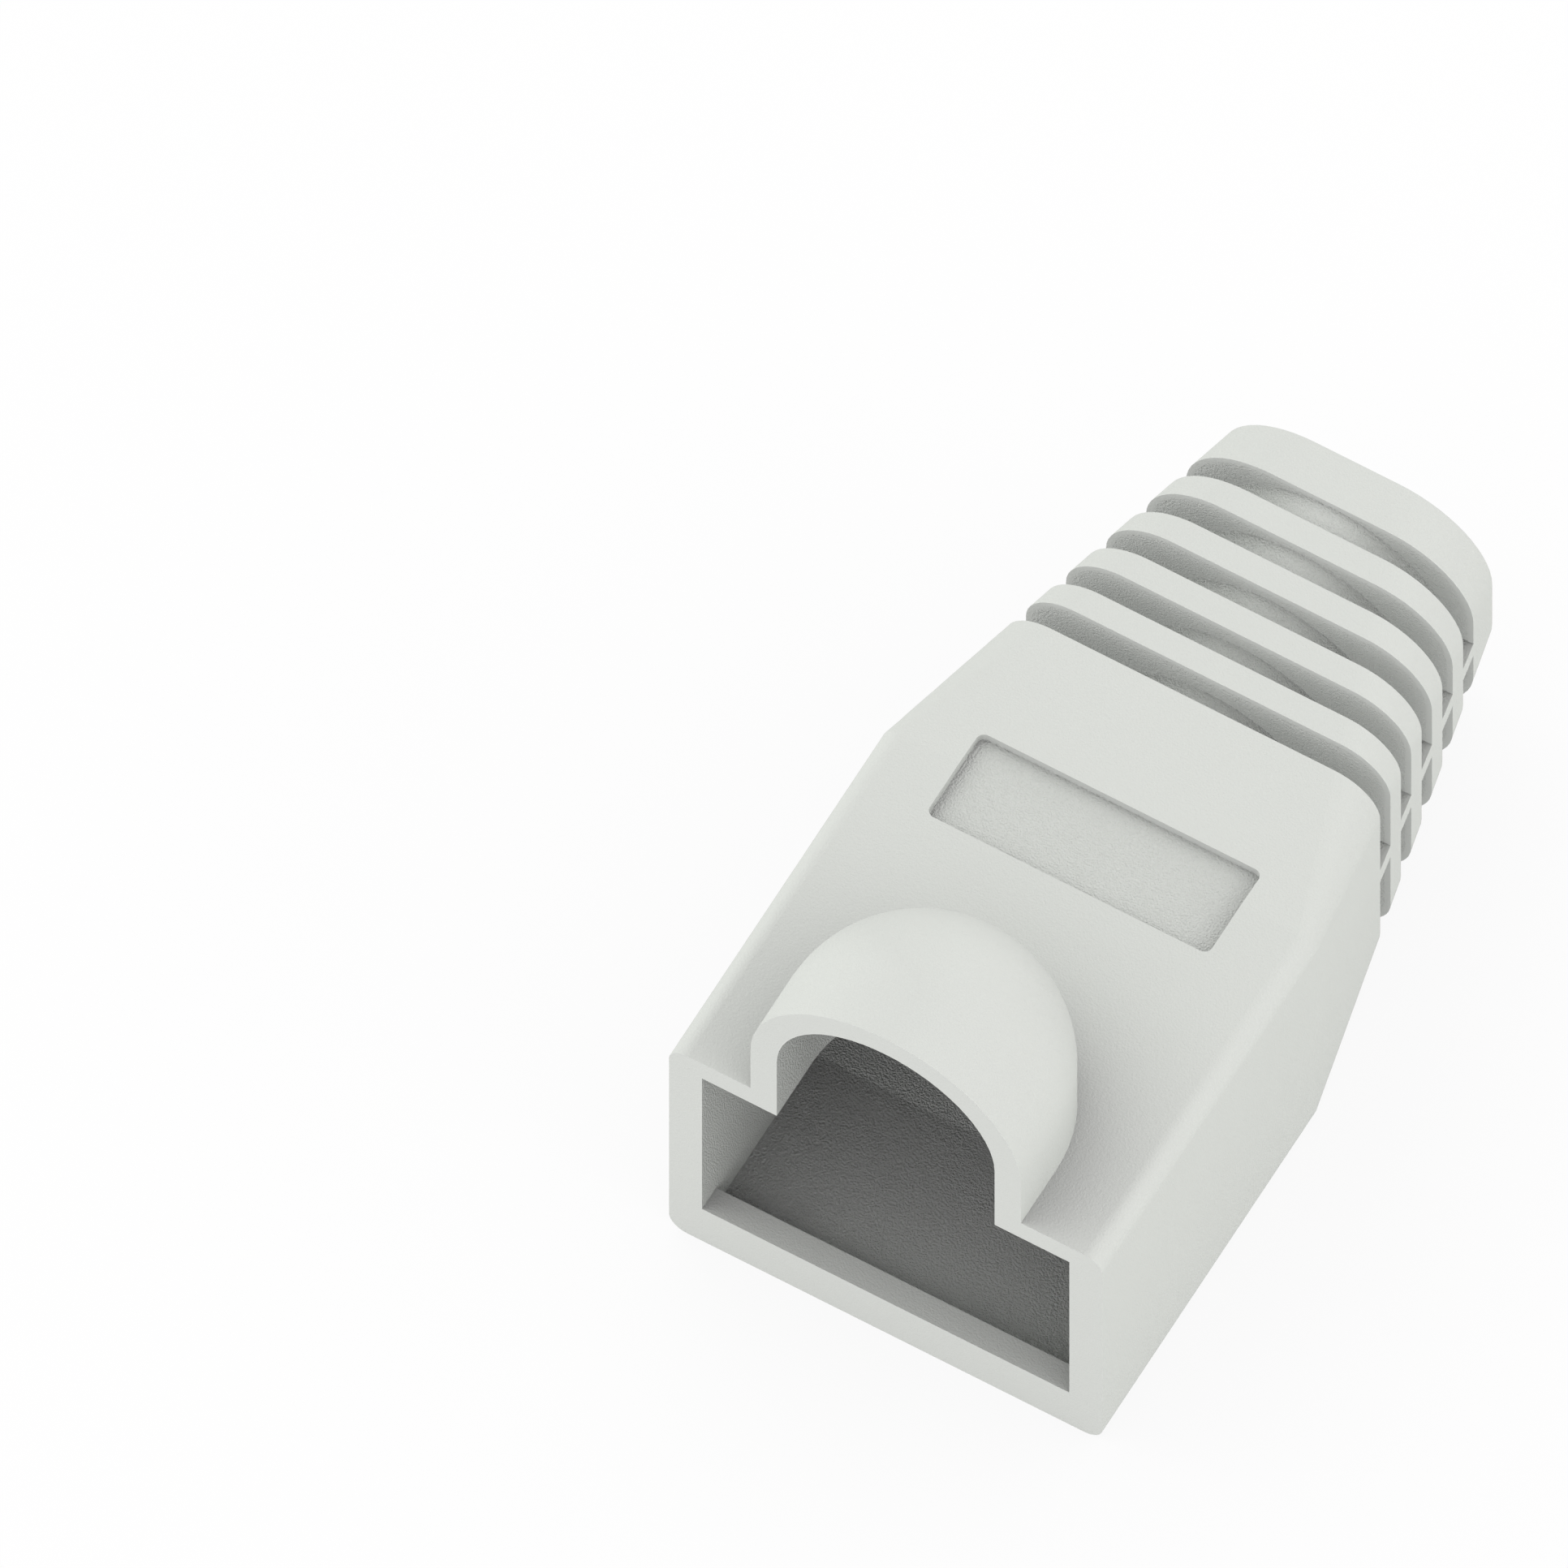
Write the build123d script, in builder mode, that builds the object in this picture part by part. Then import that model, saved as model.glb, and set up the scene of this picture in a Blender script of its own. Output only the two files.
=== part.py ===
"""Strain relief boot for an RJ45 plug, moulded in one piece of soft plastic.

The boot lies along Y with its flat underside on Z = 0. Its mouth faces -Y and slides
over the back of the plug, a hood stands over the plug's release tab, and the cable
leaves through the slotted tail at +Y. Lengths are in millimetres.
"""
import os

from build123d import *

# Straight body that grips the back of the plug
body_width = 14.0
body_height = 9.91
body_length = 12.0
body_corner_radius = 0.6

# Walls round the cavity, and the lip on its floor that snaps behind the plug
side_wall = 1.065
top_wall = 0.83
floor_thickness = 0.78
lip_height = 1.0
lip_length = 0.79
cavity_length = 6.4

# Hood over the release tab
hood_radius = 4.37
hood_wall = 0.85
hood_arch_length = 2.0
hood_centre_above_body = 2.13

# Solid shoulder behind the body, then the slotted part and the end ring
shoulder_length = 5.21
slot_count = 5
slot_width = 0.845
rib_width = 0.855
end_ring_length = 1.545
tail_width = 8.72
tail_height = 8.2
tail_corner_radius = 3.0

# Neck behind the cavity, which tapers with the tail and ends in a flat shoulder
neck_end_width = 8.25
neck_end_height = 7.1
neck_ahead_of_slots = 1.0

# Tube that runs through the tail, and the webs that tie the ribs at half height
bore_radius = 3.05
core_front_wall = 0.66
core_rear_wall = 0.93
web_thickness = 0.65

# Shallow recess, on the top and again on the underside
recess_width = 9.12
recess_length = 3.09
recess_depth = 0.35
recess_corner_radius = 0.25
recess_ahead_of_bend = 0.32

# Places along the boot, all counted from the middle of its length
slot_pitch = slot_width + rib_width
slotted_length = slot_count * slot_pitch - rib_width
total_length = body_length + shoulder_length + slotted_length + end_ring_length
mouth_y = -total_length / 2
cavity_start_y = mouth_y + lip_length
cavity_end_y = mouth_y + cavity_length
hood_back_y = mouth_y + hood_arch_length
bend_y = mouth_y + body_length
first_slot_y = bend_y + shoulder_length
last_slot_end_y = first_slot_y + slotted_length
neck_end_y = first_slot_y - neck_ahead_of_slots
tail_end_y = mouth_y + total_length

# Heights and widths that follow from the walls
axis_height = body_height / 2
hood_centre_height = body_height + hood_centre_above_body
core_front_radius = bore_radius + core_front_wall
core_rear_radius = bore_radius + core_rear_wall
cavity_width = body_width - 2 * side_wall
cavity_height = body_height - top_wall - floor_thickness
cavity_centre_height = floor_thickness + cavity_height / 2
mouth_height = cavity_height - lip_height
mouth_centre_height = cavity_centre_height + lip_height / 2


def section_at(y):
    """Plane across the boot at y, with X to the right and Z up."""
    return Plane.XZ.offset(-y)


def hood_outline(radius):
    """Round arch whose straight legs reach down into the body."""
    legs_height = hood_centre_height - axis_height
    with Locations((0, hood_centre_height)):
        Circle(radius)
        Rectangle(2 * radius, legs_height, align=(Align.CENTER, Align.MAX))


def hood_volume(radius, mode):
    """Arch at the mouth, closed behind by a quarter dome on a half-round skirt."""
    with BuildSketch(section_at(mouth_y)) as arch:
        hood_outline(radius)
    extrude(arch.sketch, amount=-hood_arch_length, mode=mode)
    with BuildSketch(section_at(hood_back_y)) as dome_half:
        hood_outline(radius)
        with Locations((0, hood_centre_height)):
            Rectangle(
                2 * radius,
                2 * hood_centre_height,
                align=(Align.MIN, Align.CENTER),
                mode=Mode.INTERSECT,
            )
    back_axis = Axis((0, hood_back_y, 0), (0, 0, 1))
    revolve(dome_half.sketch, axis=back_axis, revolution_arc=180, mode=mode)


with BuildPart() as boot:
    # Straight body
    with BuildSketch(section_at(mouth_y)):
        with Locations((0, axis_height)):
            RectangleRounded(body_width, body_height, body_corner_radius)
    extrude(amount=-body_length)

    # Tapered tail, whose corners grow rounder towards the cable
    with BuildSketch(section_at(bend_y)):
        with Locations((0, axis_height)):
            RectangleRounded(body_width, body_height, body_corner_radius)
    with BuildSketch(section_at(tail_end_y)):
        with Locations((0, axis_height)):
            RectangleRounded(tail_width, tail_height, tail_corner_radius)
    loft()

    # Flex slots, cut right across except for a web on each side
    slot_sections = [section_at(first_slot_y + i * slot_pitch) for i in range(slot_count)]
    with BuildSketch(*slot_sections):
        with Locations((0, axis_height)):
            Rectangle(2 * body_width, 2 * body_height)
            Rectangle(2 * body_width, web_thickness, mode=Mode.SUBTRACT)
    extrude(amount=-slot_width, mode=Mode.SUBTRACT)

    # Core tube that joins the ribs, a little wider towards the cable
    with BuildSketch(section_at(first_slot_y)):
        with Locations((0, axis_height)):
            Circle(core_front_radius)
    with BuildSketch(section_at(last_slot_end_y)):
        with Locations((0, axis_height)):
            Circle(core_rear_radius)
    loft()

    # Outside of the hood
    hood_volume(hood_radius, Mode.ADD)

    # Mouth, which the lip on the floor makes lower than the cavity
    with BuildSketch(section_at(mouth_y)):
        with Locations((0, mouth_centre_height)):
            Rectangle(cavity_width, mouth_height)
    extrude(amount=-lip_length, mode=Mode.SUBTRACT)

    # Cavity for the back of the plug
    with BuildSketch(section_at(cavity_start_y)):
        with Locations((0, cavity_centre_height)):
            Rectangle(cavity_width, cavity_height)
    extrude(amount=lip_length - cavity_length, mode=Mode.SUBTRACT)

    # Neck, whose walls stay about as thick as the body's while the outside tapers
    with BuildSketch(section_at(cavity_end_y)):
        with Locations((0, cavity_centre_height)):
            Rectangle(cavity_width, cavity_height)
    with BuildSketch(section_at(neck_end_y)):
        with Locations((0, axis_height)):
            Rectangle(neck_end_width, neck_end_height)
    loft(mode=Mode.SUBTRACT)

    # Bore for the cable, from the shoulder at the end of the neck to the end of the tail
    with BuildSketch(section_at(neck_end_y)):
        with Locations((0, axis_height)):
            Circle(bore_radius)
    extrude(amount=neck_end_y - tail_end_y, mode=Mode.SUBTRACT)

    # Inside of the hood, open to the cavity below it
    hood_volume(hood_radius - hood_wall, Mode.SUBTRACT)

    # Recess on the top, across the bend between body and tail
    recess_y = bend_y - recess_ahead_of_bend
    with BuildSketch(Plane.XY.offset(body_height - recess_depth)):
        with Locations((0, recess_y)):
            RectangleRounded(recess_width, recess_length, recess_corner_radius)
    extrude(amount=body_height, mode=Mode.SUBTRACT)

    # The same recess on the underside
    with BuildSketch(Plane.XY.offset(recess_depth)):
        with Locations((0, recess_y)):
            RectangleRounded(recess_width, recess_length, recess_corner_radius)
    extrude(amount=-body_height, mode=Mode.SUBTRACT)

boot.part.label = "boot"

os.makedirs("parts", exist_ok=True)
export_step(boot.part, "parts/boot.step")
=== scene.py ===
"""A moulded strain relief boot for an RJ45 plug, hood up, on a pale studio floor."""
import math

import bpy
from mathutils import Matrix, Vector


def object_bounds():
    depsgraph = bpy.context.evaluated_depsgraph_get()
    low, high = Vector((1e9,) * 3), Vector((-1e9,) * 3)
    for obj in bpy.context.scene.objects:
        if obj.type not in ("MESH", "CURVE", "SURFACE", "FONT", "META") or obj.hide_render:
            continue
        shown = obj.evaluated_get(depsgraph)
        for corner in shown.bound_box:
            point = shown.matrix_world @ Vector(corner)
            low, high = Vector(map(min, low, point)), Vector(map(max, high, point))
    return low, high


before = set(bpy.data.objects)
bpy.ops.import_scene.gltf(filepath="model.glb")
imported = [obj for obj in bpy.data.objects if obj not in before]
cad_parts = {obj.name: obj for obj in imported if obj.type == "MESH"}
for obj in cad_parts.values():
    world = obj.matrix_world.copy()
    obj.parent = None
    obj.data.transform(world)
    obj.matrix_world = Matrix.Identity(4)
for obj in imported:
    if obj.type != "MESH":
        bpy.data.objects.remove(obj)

cad_low, cad_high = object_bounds()

# Camera
# A parallel view, 30 degrees round to the right of the mouth and 60 degrees above the
# floor. The boot stands right of the middle, as it does in the picture.
azimuth = math.radians(30)
elevation = math.radians(60)
picture_side = 0.04388
foot_right_of_middle = 0.002845
foot_below_middle = 0.015351
camera_distance = 0.3
nearest_seen = 0.01
farthest_seen = 10

view_right = Vector((math.cos(azimuth), math.sin(azimuth), 0))
view_back = Vector((
    math.sin(azimuth) * math.cos(elevation),
    -math.cos(azimuth) * math.cos(elevation),
    math.sin(elevation),
))
view_up = view_back.cross(view_right)
mouth_foot = Vector((0, cad_low.y, cad_low.z))
picture_middle = (
    mouth_foot - foot_right_of_middle * view_right + foot_below_middle * view_up
)

camera_data = bpy.data.cameras.new("studio_camera")
camera_data.type = "ORTHO"
camera_data.ortho_scale = picture_side
camera_data.clip_start = nearest_seen
camera_data.clip_end = farthest_seen
camera = bpy.data.objects.new("studio_camera", camera_data)
bpy.context.scene.collection.objects.link(camera)
camera.location = picture_middle + camera_distance * view_back
camera.rotation_mode = "QUATERNION"
camera.rotation_quaternion = (-view_back).to_track_quat("-Z", "Y")
bpy.context.scene.camera = camera

# Studio floor
# A wide sheet of matt white card under the boot. It shows as white and keeps the faint
# shadow that the boot throws on it, and it sends less light back up than it shows.
floor_half = 1.5
floor_corners = ((-1, -1), (1, -1), (1, 1), (-1, 1))
lighting_card_colour = (0.43, 0.43, 0.43, 1)
shaded_card_colour = (0.98, 0.98, 0.98, 1)
shadow_share = 0.1

floor_mesh = bpy.data.meshes.new("studio_floor")
floor_mesh.from_pydata(
    [(x * floor_half, y * floor_half, cad_low.z) for x, y in floor_corners],
    [],
    [(0, 1, 2, 3)],
)
floor = bpy.data.objects.new("studio_floor", floor_mesh)
bpy.context.scene.collection.objects.link(floor)


def in_sight(nodes, links):
    """1 where the camera sees a thing, straight on, mirrored or through something clear."""
    seen = nodes.new("ShaderNodeLightPath")
    camera_or_gloss = nodes.new("ShaderNodeMath")
    camera_or_gloss.operation = "MAXIMUM"
    any_sight = nodes.new("ShaderNodeMath")
    any_sight.operation = "MAXIMUM"
    links.new(seen.outputs["Is Camera Ray"], camera_or_gloss.inputs[0])
    links.new(seen.outputs["Is Glossy Ray"], camera_or_gloss.inputs[1])
    links.new(camera_or_gloss.outputs[0], any_sight.inputs[0])
    links.new(seen.outputs["Is Transmission Ray"], any_sight.inputs[1])
    return any_sight.outputs[0]


floor_card = bpy.data.materials.new("white_card")
floor_card.use_nodes = True
nodes, links = floor_card.node_tree.nodes, floor_card.node_tree.links
nodes.clear()
lighting_card = nodes.new("ShaderNodeBsdfDiffuse")
lighting_card.inputs["Color"].default_value = lighting_card_colour
shaded_card = nodes.new("ShaderNodeBsdfDiffuse")
shaded_card.inputs["Color"].default_value = shaded_card_colour
white = nodes.new("ShaderNodeEmission")
white.inputs["Strength"].default_value = 1
seen_card = nodes.new("ShaderNodeMixShader")
seen_card.inputs["Fac"].default_value = 1 - shadow_share
surface = nodes.new("ShaderNodeMixShader")
card_out = nodes.new("ShaderNodeOutputMaterial")
links.new(in_sight(nodes, links), surface.inputs["Fac"])
links.new(shaded_card.outputs["BSDF"], seen_card.inputs[1])
links.new(white.outputs["Emission"], seen_card.inputs[2])
links.new(lighting_card.outputs["BSDF"], surface.inputs[1])
links.new(seen_card.outputs["Shader"], surface.inputs[2])
links.new(surface.outputs["Shader"], card_out.inputs["Surface"])
floor_mesh.materials.append(floor_card)

# Studio light
# A white tent gives an even light from all round. Round softboxes a metre off lift the
# sides and the back. Three fills throw no shadow, so they reach into the slots and the
# cavity: two level ones from the front and one from below for the light off the floor.
tent_strength = 0.745
tent_colour = (1.035, 1, 1.035, 1)
seen_tent_colour = (1, 1, 1, 1)
lamp_distance = 1.0
softbox_diameter = 1.0
upper_softbox_colour = (0.92, 1, 0.9)
lower_softbox_colour = (0.98, 1, 0.96)

tent = bpy.data.worlds.new("studio_tent")
tent.use_nodes = True
bpy.context.scene.world = tent
nodes, links = tent.node_tree.nodes, tent.node_tree.links
nodes.clear()
lit_cloth = nodes.new("ShaderNodeBackground")
lit_cloth.inputs["Color"].default_value = tent_colour
lit_cloth.inputs["Strength"].default_value = tent_strength
seen_cloth = nodes.new("ShaderNodeBackground")
seen_cloth.inputs["Color"].default_value = seen_tent_colour
cloth = nodes.new("ShaderNodeMixShader")
tent_out = nodes.new("ShaderNodeOutputWorld")
links.new(in_sight(nodes, links), cloth.inputs["Fac"])
links.new(lit_cloth.outputs["Background"], cloth.inputs[1])
links.new(seen_cloth.outputs["Background"], cloth.inputs[2])
links.new(cloth.outputs["Shader"], tent_out.inputs["Surface"])


def hung_lamp(name, kind, round_from_mouth, above_floor):
    """A lamp that faces the boot, placed by its angles round it and above the floor."""
    turn, rise = math.radians(round_from_mouth), math.radians(above_floor)
    towards_lamp = Vector((
        math.sin(turn) * math.cos(rise),
        -math.cos(turn) * math.cos(rise),
        math.sin(rise),
    ))
    lamp = bpy.data.objects.new(name, bpy.data.lights.new(name, kind))
    bpy.context.scene.collection.objects.link(lamp)
    lamp.location = lamp_distance * towards_lamp
    lamp.rotation_mode = "QUATERNION"
    lamp.rotation_quaternion = (-towards_lamp).to_track_quat("-Z", "Y")
    return lamp


def softbox(name, round_from_mouth, above_floor, power, colour):
    """A round softbox."""
    lamp = hung_lamp(name, "AREA", round_from_mouth, above_floor)
    lamp.data.shape = "DISK"
    lamp.data.size = softbox_diameter
    lamp.data.color = colour
    lamp.data.energy = power
    lamp.visible_camera = False


def fill(name, round_from_mouth, above_floor, strength):
    """An even light without shadows."""
    lamp = hung_lamp(name, "SUN", round_from_mouth, above_floor)
    lamp.data.energy = strength
    lamp.data.use_shadow = False


softbox("softbox_upper_left", 270, 50, 1.9, upper_softbox_colour)
softbox("softbox_lower_right", 90, 12, 3.7, lower_softbox_colour)
softbox("softbox_lower_behind_right", 135, 12, 1.0, lower_softbox_colour)
softbox("softbox_lower_behind_left", 225, 12, 2.0, lower_softbox_colour)
fill("fill_front_left", 330, 0, 0.95)
fill("fill_front_right", 30, 0, 0.2)
fill("fill_off_the_floor", 90, -45, 0.23)

# Boot
# One moulding in soft PVC, very light grey, that grips the plug by its fit alone. The
# outside of the mould is finely blasted. Its inserts, which shape the slots, the recesses
# and the cavity behind the lip, are rougher.
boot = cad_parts["boot"]
pigment_colour = (0.697, 0.723, 0.683, 1)
pigment_light_colour = (0.711, 0.737, 0.697, 1)
# Black for light bounced off the boot: painted shade in the cavity and the slots
painted_shade_colour = (0, 0, 0, 1)
clouds_per_metre = 350
clouds_detail = 3
grains_per_metre = 16000
grain_detail = 2
grain_middle = 0.5
surface_shine = 0.2
outside_grain_depth = 0.000015
inside_grain_depth = 0.00006
inside_starts_below_skin = 0.0002
inside_starts_behind_mouth = 0.00002
lip_length, lip_top = 0.0008, 0.00182
roughness_low = 0.6
roughness_high = 0.75
body_half = (0.007, 0.004955)
tail_half = (0.00436, 0.0041)
body_corner, tail_corner = 0.0006, 0.003
bend_y, tail_end_y = -0.0012, 0.0132
hood_radius = 0.00437
hood_back_y, hood_centre_z = -0.0112, 0.01204

pvc = bpy.data.materials.new("light_grey_pvc")
pvc.use_nodes = True
nodes, links = pvc.node_tree.nodes, pvc.node_tree.links
skin = nodes["Principled BSDF"]
skin.inputs["Specular IOR Level"].default_value = surface_shine
place = nodes.new("ShaderNodeTexCoord")
along = nodes.new("ShaderNodeSeparateXYZ")
links.new(place.outputs["Object"], along.inputs["Vector"])

clouds = nodes.new("ShaderNodeTexNoise")
clouds.inputs["Scale"].default_value = clouds_per_metre
clouds.inputs["Detail"].default_value = clouds_detail
pigment = nodes.new("ShaderNodeMix")
pigment.data_type = "RGBA"
pigment.inputs[6].default_value = pigment_colour
pigment.inputs[7].default_value = pigment_light_colour
links.new(place.outputs["Object"], clouds.inputs["Vector"])
links.new(clouds.outputs["Fac"], pigment.inputs[0])

# Painted shade: the boot's colour turns black for light that has bounced off it once, so
# the cavity and the slots keep a deep tone that the bounced light would otherwise lift.
bounce = nodes.new("ShaderNodeLightPath")
colour = nodes.new("ShaderNodeMix")
colour.data_type = "RGBA"
colour.inputs[7].default_value = painted_shade_colour
links.new(pigment.outputs[2], colour.inputs[6])
links.new(bounce.outputs["Is Diffuse Ray"], colour.inputs[0])
links.new(colour.outputs[2], skin.inputs["Base Color"])


def feed(socket, value):
    """Sets a socket to a length, or joins it to one that changes over the boot."""
    if isinstance(value, (int, float)):
        socket.default_value = value
    else:
        links.new(value, socket)


def measure(operation, first, second):
    """A measure of the moulding, worked out from two others."""
    maths = nodes.new("ShaderNodeMath")
    maths.operation = operation
    feed(maths.inputs[0], first)
    feed(maths.inputs[1], second)
    return maths.outputs[0]


def tapered(at_body, at_end):
    """A length that changes evenly from the bend to the end of the tail."""
    taper = nodes.new("ShaderNodeMapRange")
    taper.inputs["From Min"].default_value = bend_y
    taper.inputs["From Max"].default_value = tail_end_y
    taper.inputs["To Min"].default_value = at_body
    taper.inputs["To Max"].default_value = at_end
    links.new(along.outputs["Y"], taper.inputs["Value"])
    return taper.outputs["Result"]


def reach(x, y, z):
    """How far a point lies from a rounding's centre, from its distance each way."""
    joined = nodes.new("ShaderNodeCombineXYZ")
    for socket, value in zip(joined.inputs, (x, y, z)):
        feed(socket, value)
    length = nodes.new("ShaderNodeVectorMath")
    length.operation = "LENGTH"
    links.new(joined.outputs["Vector"], length.inputs[0])
    return length.outputs["Value"]


# How far a point lies below the outside of the body and tail
across, back, up = along.outputs["X"], along.outputs["Y"], along.outputs["Z"]
above_axis = measure("SUBTRACT", up, body_half[1])
to_side = measure("ABSOLUTE", across, 0.0)
off_axis = measure("ABSOLUTE", above_axis, 0.0)
straight_side = tapered(body_half[0] - body_corner, tail_half[0] - tail_corner)
straight_height = tapered(body_half[1] - body_corner, tail_half[1] - tail_corner)
past_side = measure("SUBTRACT", to_side, straight_side)
past_height = measure("SUBTRACT", off_axis, straight_height)
round_corner = reach(
    measure("MAXIMUM", past_side, 0.0), 0.0, measure("MAXIMUM", past_height, 0.0)
)
flat_side = measure("MINIMUM", measure("MAXIMUM", past_side, past_height), 0.0)
outline_reach = measure("ADD", round_corner, flat_side)
below_body_skin = measure("SUBTRACT", tapered(body_corner, tail_corner), outline_reach)

# How far it lies below the outside of the hood, which counts only above the boot's axis so
# that it leaves the underside alone
behind_arch = measure("MAXIMUM", measure("SUBTRACT", back, hood_back_y), 0.0)
above_legs = measure("MAXIMUM", measure("SUBTRACT", up, hood_centre_z), 0.0)
hood_reach = reach(across, behind_arch, above_legs)
below_hood_skin = measure("SUBTRACT", hood_radius, hood_reach)
below_hood_skin = measure("MINIMUM", below_hood_skin, above_axis)

# The inside: below the skin, clear of the lip, and between the mouth and the end face
below_skin = measure("MAXIMUM", below_body_skin, below_hood_skin)
under_skin = measure("GREATER_THAN", below_skin, inside_starts_below_skin)
behind_lip = measure("GREATER_THAN", back, cad_low.y + lip_length)
clear_of_lip = measure("MAXIMUM", behind_lip, measure("GREATER_THAN", up, lip_top))
behind_mouth = measure("GREATER_THAN", back, cad_low.y + inside_starts_behind_mouth)
ahead_of_end = measure("LESS_THAN", back, cad_high.y - inside_starts_behind_mouth)
between_ends = measure("MULTIPLY", behind_mouth, ahead_of_end)
inside = measure("MULTIPLY", measure("MULTIPLY", under_skin, clear_of_lip), between_ends)

# Grain, which makes the surface uneven and changes its roughness
grain = nodes.new("ShaderNodeTexNoise")
grain.inputs["Scale"].default_value = grains_per_metre
grain.inputs["Detail"].default_value = grain_detail
matt = nodes.new("ShaderNodeMapRange")
matt.inputs["To Min"].default_value = roughness_low
matt.inputs["To Max"].default_value = roughness_high
grain_depth = nodes.new("ShaderNodeMapRange")
grain_depth.inputs["To Min"].default_value = outside_grain_depth
grain_depth.inputs["To Max"].default_value = inside_grain_depth
links.new(place.outputs["Object"], grain.inputs["Vector"])
links.new(grain.outputs["Fac"], matt.inputs["Value"])
links.new(matt.outputs["Result"], skin.inputs["Roughness"])
links.new(inside, grain_depth.inputs["Value"])
relief = nodes.new("ShaderNodeBump")
relief.inputs["Distance"].default_value = 1
grain_height = measure("SUBTRACT", grain.outputs["Fac"], grain_middle)
grain_height = measure("MULTIPLY", grain_height, grain_depth.outputs["Result"])
links.new(grain_height, relief.inputs["Height"])
links.new(relief.outputs["Normal"], skin.inputs["Normal"])
boot.material_slots[0].material = pvc

# Look
# The view transform.
bpy.context.scene.view_settings.view_transform = "Standard"

bpy.context.view_layer.update()
